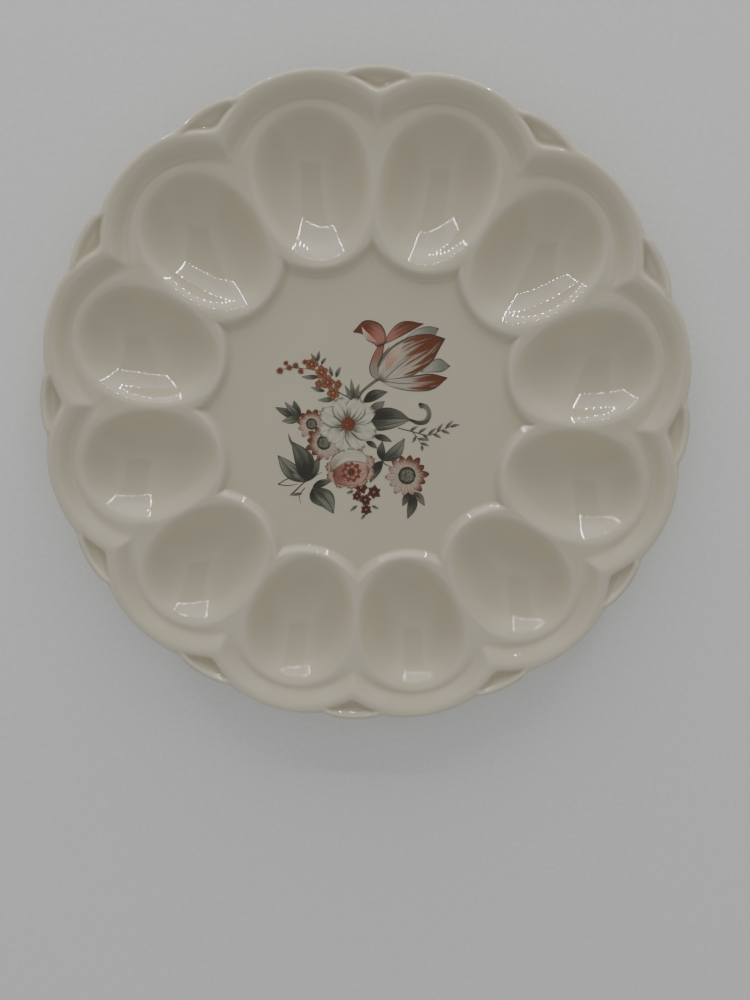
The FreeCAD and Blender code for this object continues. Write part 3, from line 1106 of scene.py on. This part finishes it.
@dataclass(frozen=True)
class Daisy:
    """A small many-petalled flower whose petals blush on one side."""

    node: str
    layer: int
    centre: Point
    radius: float
    hub_radius: float
    petals: int
    warm_deg: float
    pale: str = "#CDB5A3"
    pink: str = "#C08877"
    rust: str = "#7A3517"

    def build(self) -> Thing:
        """Builds the daisy."""
        motif = Motif(self.node, self.layer)
        for number in range(self.petals):
            turn = 360 * number / self.petals
            warmth = 0.5 + 0.5 * math.cos(math.radians(turn - self.warm_deg))
            tip = self.rust if warmth > 0.45 else self.pink
            ink = Ink(self.pale, tip, 0.90 - 0.42 * warmth, 0.7, 0.6, 0.35)
            angle = math.radians(turn + 7)
            reach = self.radius * (0.94 + 0.06 * math.cos(2.7 * number))
            foot, end = (
                (self.centre[0] + math.cos(angle) * away, self.centre[1] + math.sin(angle) * away)
                for away in (self.hub_radius * 0.7, reach)
            )
            room = 2 * math.pi * self.radius * 0.74 / self.petals
            motif.petal(foot, end, room, ink, shape=Outline.BLUNT)
        motif.hub(self.centre, self.hub_radius * 1.25, CHARCOAL, 0, CHARCOAL)
        motif.hub(self.centre, self.hub_radius, DAISY_HUB, 14, PALE_LEAF)
        motif.hub(self.centre, self.hub_radius * 0.42, SOFT_LEAF, 2, CHARCOAL)
        return motif.build()


class Bouquet:
    """The spray of flowers printed in the middle of the tray, in millimetres."""

    def build(self) -> list[Thing]:
        """Builds every motif, from the leaves behind to the flowers in front."""
        return [
            self.left_leaves(),
            self.upper_leaves(),
            self.right_leaves(),
            self.stem(),
            self.tulip(),
            self.sprig(),
            self.stars(),
            Daisy("decal_small_daisy", 5, (-22, -4), 6.6, 1.9, 11, 100).build(),
            Daisy("decal_left_daisy", 6, (-16.6, -11.6), 8, 2.4, 13, 170).build(),
            Daisy("decal_right_daisy", 6, (18.8, -23.8), 9.4, 3, 14, 35).build(),
            self.rose(),
            self.white_bloom(),
        ]

    def left_leaves(self) -> Thing:
        """Broad leaves and twigs at the lower left."""
        motif = Motif("decal_left_leaves", 0)
        base = (-24, -28.5)
        motif.stroke([(-30, -34.5), (-27, -31.5), base, (-17, -24)], 0.6, TWIG)
        motif.stroke([(-35.5, -30.2), (-31, -27.4), (-26, -26.6)], 0.5, TWIG)
        motif.stroke([(-35, -30.2), (-31, -30.4), (-27, -29.6)], 0.45, TWIG)
        motif.stroke([(-24, -31), (-26.2, -34.5), (-25.4, -38.4)], 0.4, TWIG)
        motif.petal(base, (-18.3, -17.5), 4.6, DEEP_LEAF, -0.6)
        motif.petal(base, (-35.8, -17.8), 6.6, PALE_LEAF, 0.8)
        motif.petal(base, (-30.2, -11.6), 8.2, DEEP_LEAF, -2.6)
        motif.petal((-29.8, -13.5), (-31.7, -8.3), 1, SOFT_LEAF)
        motif.petal((-20.8, -30.8), (-12.6, -27.4), 3.2, DEEP_LEAF, 0.4)
        motif.petal((-20.8, -31), (-16.8, -38.8), 4, DEEP_LEAF, -1)
        motif.petal((-20.4, -31), (-11.5, -41.6), 7.4, PALE_LEAF, 1.4)
        motif.petal((-25, -33.5), (-30.6, -34.6), 1.3, SOFT_LEAF)
        motif.petal((-24, -28.5), (-29.5, -25), 1.8, SOFT_LEAF)
        return motif.build()

    def upper_leaves(self) -> Thing:
        """Small leaves between the sprig, the tulip's stem and the small daisy."""
        motif = Motif("decal_upper_leaves", 0)
        motif.stroke([(-4, 6.5), (-9, 8.5), (-14, 11.5), (-19.5, 17.6), (-27, 18.6)], 0.5, TWIG)
        motif.stroke([(-19, 17), (-20.2, 21), (-20.6, 24)], 0.4, TWIG)
        for foot, tip, width in (
            ((-19.2, 15.6), (-26.8, 15.2), 2), ((-16.8, 9.8), (-22.8, 11.2), 1.8),
            ((-12.4, 7), (-19.8, 6), 2.2), ((-14, 16), (-15.2, 20), 1.6),
            ((-12.6, 15.5), (-10.6, 20), 1.7), ((-20.2, 21.6), (-23.2, 24.8), 1.5),
            ((-20, 21.8), (-19.6, 26), 1.5), ((-18.8, 20.4), (-16.6, 23.4), 1.3),
            ((-13.8, 12.2), (-18.2, 13), 1.2),
        ):
            motif.petal(foot, tip, width, PALE_LEAF, 0.25)
        for tip, width in (
            ((-8.8, 12.6), 2), ((-6.3, 15.4), 1.9), ((-2.8, 13.4), 1.9), ((-1.6, 10.8), 1.5),
            ((-8.2, 9.2), 1.6),
        ):
            motif.petal((-4.2, 6.5), tip, width, PALE_LEAF, 0.3)
        for tip, width, ink in (
            ((-37.2, 2.2), 3.6, DEEP_LEAF), ((-29.6, 5.4), 3.2, DEEP_LEAF),
            ((-34.4, -3.4), 3.4, PALE_LEAF), ((-33.4, 4.6), 2.6, PALE_LEAF),
        ):
            motif.petal((-26.8, -1.2), tip, width, ink, 0.4)
        return motif.build()

    def right_leaves(self) -> Thing:
        """The big leaf with its curled tip, the fern twig and the leaves at the lower right."""
        motif = Motif("decal_right_leaves", 0)
        motif.stroke([(14, -4), (20, -5.2), (27, -6.4), (33, -3.6), (38, -1.5)], 0.45, TWIG)
        motif.stroke([(20, -5.2), (22.5, -8), (24.5, -11.2)], 0.4, TWIG)
        for foot, tip in (
            ((19, -5.1), (22.4, -2.9)), ((22.6, -5.8), (26, -3.4)),
            ((26.6, -6.3), (30.2, -3.2)), ((30.2, -5.2), (32.6, -1.2)),
            ((33.6, -3.5), (36.8, 0.2)), ((35.5, -2.6), (39.6, -1.4)),
            ((24.2, -6), (27.2, -8.8)), ((28.6, -5.8), (32.2, -7.4)),
            ((32, -4.3), (35.8, -5.4)), ((22.4, -8), (26.8, -8.8)),
            ((23.6, -9.8), (27.4, -11)), ((24.2, -10.8), (24.6, -13.4)),
            ((21.6, -7), (20.2, -10)),
        ):
            motif.petal(foot, tip, 1.25, SOFT_LEAF, 0.15)
        motif.petal((1.5, 2.2), (8, 6.8), 4.2, SOFT_LEAF, -0.4)
        motif.petal((-1, 6), (9, 10.7), 4.4, DEEP_LEAF, 0.9)
        rib = [(2, -1), (5, -0.9), (9.5, -0.4), (14.5, 0), (19.2, -0.4)]
        upper = [(2, -1), (5, 3), (9.5, 4.3), (14.5, 3.1), (19.2, -0.4)]
        lower = [(2, -1), (5, -5.3), (9.5, -5), (14.5, -3.2), (19.2, -0.4)]
        motif.blade(upper, rib, DEEP_LEAF)
        motif.blade(rib, lower, PALE_LEAF)
        motif.blade(
            [(18.6, 0.2), (22.4, -0.6), (25, 0.4), (25.6, 3), (24.2, 4.6), (22.9, 4.4)],
            [(18.6, -0.8), (22.4, -2.4), (26.2, -1.4), (27.6, 2.4), (25.8, 6), (22.6, 6.9)],
            PALE_LEAF,
        )
        motif.petal((22.2, 6.8), (23.6, 4.6), 1.5, DEEP_LEAF, shape=Outline.OVAL)
        motif.petal((4, -7.8), (11.8, -9.8), 2.8, DEEP_LEAF, 0.4)
        motif.petal((1, -10.2), (5.8, -13), 2.4, DEEP_LEAF, 0.3)
        middle = (8.2, -18)
        motif.stroke([middle, (9.4, -19.4), (12.5, -20.6)], 0.5, TWIG)
        motif.petal(middle, (17, -8.2), 5.4, PALE_LEAF, -1.4)
        motif.petal(middle, (7.8, -9.8), 3.6, DEEP_LEAF, 0.6)
        motif.petal(middle, (3.4, -27.6), 4.6, DEEP_LEAF, -0.8)
        motif.petal((21.4, -30.6), (17.6, -37), 3.2, DEEP_LEAF, -0.5)
        motif.petal((21.8, -30.6), (27, -36.4), 3.2, PALE_LEAF, 0.5)
        motif.petal((21.8, -31), (20, -42.4), 4.2, DEEP_LEAF, 0.8)
        return motif.build()

    def stem(self) -> Thing:
        """The tulip's stem."""
        motif = Motif("decal_tulip_stem", 2)
        motif.stroke([(5.2, 16), (1.4, 13), (-1.8, 9.8), (-3.6, 5)], 1.25, STEM)
        return motif.build()

    def tulip(self) -> Thing:
        """The open tulip, its white petals flamed with rust."""
        motif = Motif("decal_tulip", 3)
        motif.blade(
            [(15, 32.6), (19, 36), (24, 37.8), (28.6, 37.2)],
            [(15, 32.6), (21, 33.4), (26.5, 33.8), (28.6, 37.2)],
            TULIP_BACK,
        )
        motif.blade(
            [(22, 20.4), (25.4, 23.4), (29.6, 25.2), (34.2, 22.3)],
            [(22, 19.2), (26.4, 19.4), (31, 19.9), (34.2, 22.3)],
            TULIP_BACK,
        )
        motif.blade(
            [(6.2, 31), (10.6, 37.3), (15.2, 39.5), (22.4, 38.7)],
            [(6.6, 29.8), (10.4, 31.6), (16.4, 35), (22.4, 38.7)],
            TULIP_LIP,
        )
        motif.blade(
            [(6.4, 28.6), (7.2, 33.6), (4.4, 38), (-1.8, 38.9), (-6.4, 34)],
            [(3.6, 28.6), (2, 30), (-0.4, 31), (-2.4, 33.4), (-6.4, 34)],
            TULIP_LIP,
        )
        motif.petal((3.4, 30.6), (-2.8, 36.4), 2.4, TULIP_BLUSH, 1)
        motif.blade(
            [(5.4, 15), (2, 16.8), (0.9, 20.4), (2.2, 25.2), (4.4, 29.6)],
            [(5.4, 15), (5.4, 17), (5.2, 20.6), (6.2, 25.2), (6.8, 30.4)],
            TULIP_NECK,
        )
        motif.blade(
            [(5.4, 15), (4.2, 20.4), (8.8, 28.2), (16.4, 33.2), (24.6, 34.8), (31.4, 33.2)],
            [(6.8, 15), (14.2, 15.6), (20.4, 18.6), (26.4, 23.4), (28.8, 28), (31.4, 33.2)],
            TULIP_FLAME,
        )
        motif.petal((8, 19), (14.6, 31), 4, TULIP_BLUSH, 1)
        motif.petal((29.6, 32.4), (15.4, 25.4), 1.7, FLAME_STREAK, 0.5)
        motif.petal((27.4, 34.2), (13.8, 30.4), 1.6, FLAME_STREAK, -0.7)
        motif.petal((28.8, 28.6), (18.4, 21.2), 1.5, FLAME_STREAK, 0.6)
        motif.petal((25.6, 23.6), (14.6, 17.6), 1.2, FLAME_STREAK, 0.6)
        motif.stroke([(8, 16.4), (13.4, 21.6), (20.6, 27.4)], 0.35, TWIG)
        motif.stroke([(4.4, 20.6), (6, 25), (8.9, 28.9)], 0.55, CHARCOAL)
        motif.blade(
            [(5.8, 15.4), (12, 16.4), (20.4, 18), (26.4, 18.9), (33.4, 17.6)],
            [(5.8, 15), (10.4, 12.8), (18.4, 11.4), (27.4, 12.4), (33.4, 17.6)],
            TULIP_FLAME,
        )
        motif.petal((32.4, 16.8), (18.6, 15.2), 1.5, FLAME_STREAK, -0.3)
        motif.petal((29.4, 13.6), (16.6, 12.7), 1.2, FLAME_STREAK, 0.4)
        motif.stroke([(6.2, 15.1), (14.4, 14.3), (22, 15)], 0.3, TWIG)
        return motif.build()

    def sprig(self) -> Thing:
        """The sprig of small orange flowers with its buds."""
        motif = Motif("decal_orange_sprig", 4)
        for centre, radius, turn in (
            ((-22.6, 20.4), 2.7, 0), ((-18.4, 17.4), 2.9, 30), ((-15.8, 13.4), 3, 10),
            ((-13.4, 9.2), 2.9, 48), ((-19.4, 12.6), 1.9, 20), ((-11.6, 12.8), 1.9, 5),
        ):
            motif.ring(centre, (0.1, radius), 5, Outline.OVAL, SPRIG_PETAL, turn, 0.95)
            motif.hub(centre, radius * 0.2, Ink("#C99B78", "#A8714F"), 2, CHARCOAL)
        for centre, size in (
            ((-27, 17.4), 1.3), ((-29.2, 19.6), 1.4), ((-31.8, 18.6), 1.3),
            ((-33.2, 20.4), 1.1), ((-35.6, 17.2), 1.5), ((-25.4, 21.2), 1.2),
        ):
            motif.ring(centre, (0, size), 3, Outline.OVAL, SPRIG_PETAL, 75, 0.9)
        motif.stroke([(-27, 18.6), (-31, 18.8), (-35, 17.6)], 0.35, TWIG)
        return motif.build()

    def stars(self) -> Thing:
        """The dark russet flowerlets below the rose."""
        motif = Motif("decal_russet_stars", 4)
        for centre, radius, turn in (
            ((-0.2, -29.8), 3.1, 0), ((5.3, -31.5), 3.2, 25), ((-1.8, -33.6), 2.3, 40),
            ((1.8, -35), 2.8, 10), ((2.3, -39.2), 2.6, 35),
        ):
            motif.ring(centre, (0.1, radius), 6, Outline.LANCE, STAR_PETAL, turn, 0.95)
            motif.hub(centre, radius * 0.2, Ink("#B9795A", "#A0603F"), 2, CHARCOAL)
        for foot, tip in (
            ((-1.6, -37.6), (-4.6, -40.2)), ((4.6, -37.4), (7.6, -38.6)),
            ((-3.4, -31.4), (-6.4, -32.6)), ((2, -41.2), (0.2, -43.6)),
        ):
            motif.petal(foot, tip, 1.2, SOFT_LEAF)
        return motif.build()

    def rose(self) -> Thing:
        """The half-open rose: a pale cup over a dark heart, with pink petals outside."""
        motif = Motif("decal_rose", 7)
        middle = (-5, -22)
        for tip, width in (
            ((-15.6, -21.6), 7.4), ((-14.8, -26.6), 7.4), ((-10.6, -30), 7.4),
            ((-4.2, -30.6), 7.8), ((1.6, -28.6), 7.4), ((5.2, -24), 7.6), ((4.8, -17.4), 7.6),
        ):
            motif.petal(middle, tip, width, ROSE_PINK, shape=Outline.FRILLED)
        motif.petal((-12.6, -23), (3, -22.6), 12.6, ROSE_PINK, shape=Outline.OVAL)
        motif.blade(
            [(-13.4, -24), (-13.2, -17.8), (-7.4, -13.7), (-0.4, -14.5), (2.8, -19.6)],
            [(-13.4, -24), (-9.6, -21.4), (-6, -19.4), (-1.8, -19.2), (2.8, -19.6)],
            ROSE_CUP,
        )
        motif.blade(
            [(-12.8, -24.4), (-11, -28.4), (-6, -29.4), (0.2, -27.6), (2.8, -21.4)],
            [(-12.8, -24.4), (-8.8, -26.4), (-5.2, -27.4), (-1.2, -25.8), (2.8, -21.4)],
            ROSE_PINK,
        )
        heart = (-4.6, -23.4)
        motif.ring(heart, (0.4, 4.5), 9, Outline.BLUNT, ROSE_HEART, 10)
        motif.ring(heart, (0.3, 3.1), 7, Outline.BLUNT, Ink("#8A3E2C", "#C98F7D", edge=0.7), 30)
        motif.ring(heart, (0.2, 1.7), 5, Outline.BLUNT, ROSE_HEART, 5)
        return motif.build()

    def white_bloom(self) -> Thing:
        """The large white flower in the middle of the spray."""
        motif = Motif("decal_white_bloom", 9)
        middle = (-6.8, -3.2)
        for tip, width in (
            ((-19.2, -7.6), 7.4), ((-9.6, -15.2), 8), ((-15.2, -11.2), 7.4),
            ((-0.6, -14), 8.4), ((-18.8, 1.4), 9), ((5.2, -7), 9.6), ((4, 3), 8),
            ((-11.4, 7.4), 9), ((-2.2, 7.4), 9.4),
        ):
            motif.petal(middle, tip, width, BLOOM_PETAL, shape=Outline.FRILLED)
        motif.hub(middle, 3, Ink("#B58A6C", "#8F4A2E"), 34, BLOOM_HUB)
        return motif.build()


# Stage


@dataclass
class Stage:
    """Pale table, a light tent whose lit panel stands on the tulip's side, and the camera."""

    table_size: float = 3.0
    panel_distance: float = 1.2
    panel_middle: float = -0.2
    panel_low: float = 0.20
    panel_height: float = 0.56
    panel_width: float = 1.32
    panel_watts: float = 2.2
    lamp_watts: float = 0.13
    lamp_mm: float = 20.0
    lamp_gap: float = 0.01
    lamp_count: int = 15
    # Axis, middle and half size of the tent's darker open front, as parts of a direction
    opening: tuple[tuple[str, float, float], ...] = (("X", 0.0, 0.36), ("Y", 0.3, 0.6))
    tent_strength: float = 0.74
    tent_lift: float = 0.05
    wall_scale: float = 0.4
    lens_mm: float = 27.0
    eye: tuple[float, float, float] = (0.0060, 0.0235, 0.3287)
    tilt_deg: float = 10.58
    swing_deg: float = -0.52
    roll_deg: float = -2.63

    def build(self) -> None:
        """Builds the table, the lights, the surrounding light and the camera."""
        self.table()
        self.lights()
        self.surroundings()
        self.camera()

    def table(self) -> None:
        """Lays the pale table at the level of the tray's foot."""
        half = self.table_size / 2 / MM
        corners = half * np.array([[-1, -1, 0], [1, -1, 0], [1, 1, 0], [-1, 1, 0]])
        table = mesh_object("table_paper", corners, [(0, 1, 2, 3)])
        table.data.materials.append(TablePaper().build())

    def lights(self) -> None:
        """Stands up the soft panel of the light tent, with small lamps all round its edge."""
        middle = self.panel_low + self.panel_height / 2
        self.area_light(
            "panel",
            (self.panel_middle, self.panel_distance, middle),
            self.panel_watts,
            self.panel_width,
            self.panel_height,
        )
        left = self.panel_middle - self.panel_width / 2
        right = self.panel_middle + self.panel_width / 2
        low, high = self.panel_low, self.panel_low + self.panel_height
        corners = [(left, low), (right, low), (right, high), (left, high)]
        size = self.lamp_mm * MM
        number = 0
        for index, start in enumerate(corners):
            end = corners[(index + 1) % 4]
            for step in range(self.lamp_count):
                share = step / self.lamp_count
                x = start[0] + (end[0] - start[0]) * share
                z = start[1] + (end[1] - start[1]) * share
                place = (x, self.panel_distance - self.lamp_gap, z)
                self.area_light(f"lamp_{number}", place, self.lamp_watts, size, size)
                number += 1

    def area_light(
        self,
        name: str,
        place: tuple[float, float, float],
        power: float,
        width: float,
        height: float,
    ) -> None:
        """Adds a rectangular light that faces the tray from beyond its far side.

        Args:
            name: Name of the light.
            place: Middle of the light, in metres.
            power: Power in watts.
            width: Size along x.
            height: Size along z.
        """
        data = bpy.data.lights.new(name, "AREA")
        data.shape = "RECTANGLE"
        data.size = width
        data.size_y = height
        data.energy = power
        lamp = bpy.data.objects.new(name, data)
        lamp.location = place
        lamp.rotation_euler = Euler((math.radians(-90), 0, 0))
        bpy.context.scene.collection.objects.link(lamp)

    def surroundings(self) -> None:
        """Bright walls of the tent all round, with its dark open front above the tray."""
        world = bpy.data.worlds.new("tent")
        world.use_nodes = True
        tree = world.node_tree
        way = add_node(tree, "TexCoord", {}).outputs["Generated"]
        parts = add_node(tree, "SeparateXYZ", {"Vector": way}).outputs
        sides = []
        for name, middle, half in self.opening:
            off = math_step(tree, "MULTIPLY_ADD", parts[name], 1 / half, -middle / half)
            sides.append(math_step(tree, "ABSOLUTE", off))
        away = math_step(tree, "MAXIMUM", *sides)
        walls = ramp(
            tree,
            math_step(tree, "MULTIPLY", away, self.wall_scale),
            (0.37, (0.34, 0.35, 0.35, 1)),
            (0.43, (1.06, 1.08, 1.08, 1)),
            (0.60, (0.84, 0.85, 0.85, 1)),
            (0.90, (0.36, 0.37, 0.37, 1)),
        )
        lift = math_step(tree, "MULTIPLY_ADD", parts["Y"], self.tent_lift, self.tent_strength)
        background = tree.nodes["Background"]
        tree.links.new(walls, background.inputs["Color"])
        tree.links.new(lift, background.inputs["Strength"])
        bpy.context.scene.world = world

    def camera(self) -> None:
        """Places the camera over the tray, tilted a little towards its near edge."""
        data = bpy.data.cameras.new("camera")
        data.sensor_fit = "VERTICAL"
        data.sensor_height = 36.0
        data.lens = self.lens_mm
        data.clip_start = 0.01
        eye = bpy.data.objects.new("camera", data)
        eye.location = self.eye
        angles = [math.radians(turn) for turn in (self.tilt_deg, self.swing_deg, self.roll_deg)]
        turn = Euler(angles, "ZYX")
        eye.rotation_euler = turn.to_matrix().inverted().to_euler()
        bpy.context.scene.collection.objects.link(eye)
        bpy.context.scene.camera = eye


def main() -> None:
    """Builds the tray, its print and the stage."""
    logging.basicConfig(level=logging.INFO, format="%(message)s")
    for piece in (TrayBody().build(), *Bouquet().build()):
        LOG.info("%s: %d faces", piece.name, len(piece.data.polygons))
    Stage().build()


if __name__ == "__main__":
    main()
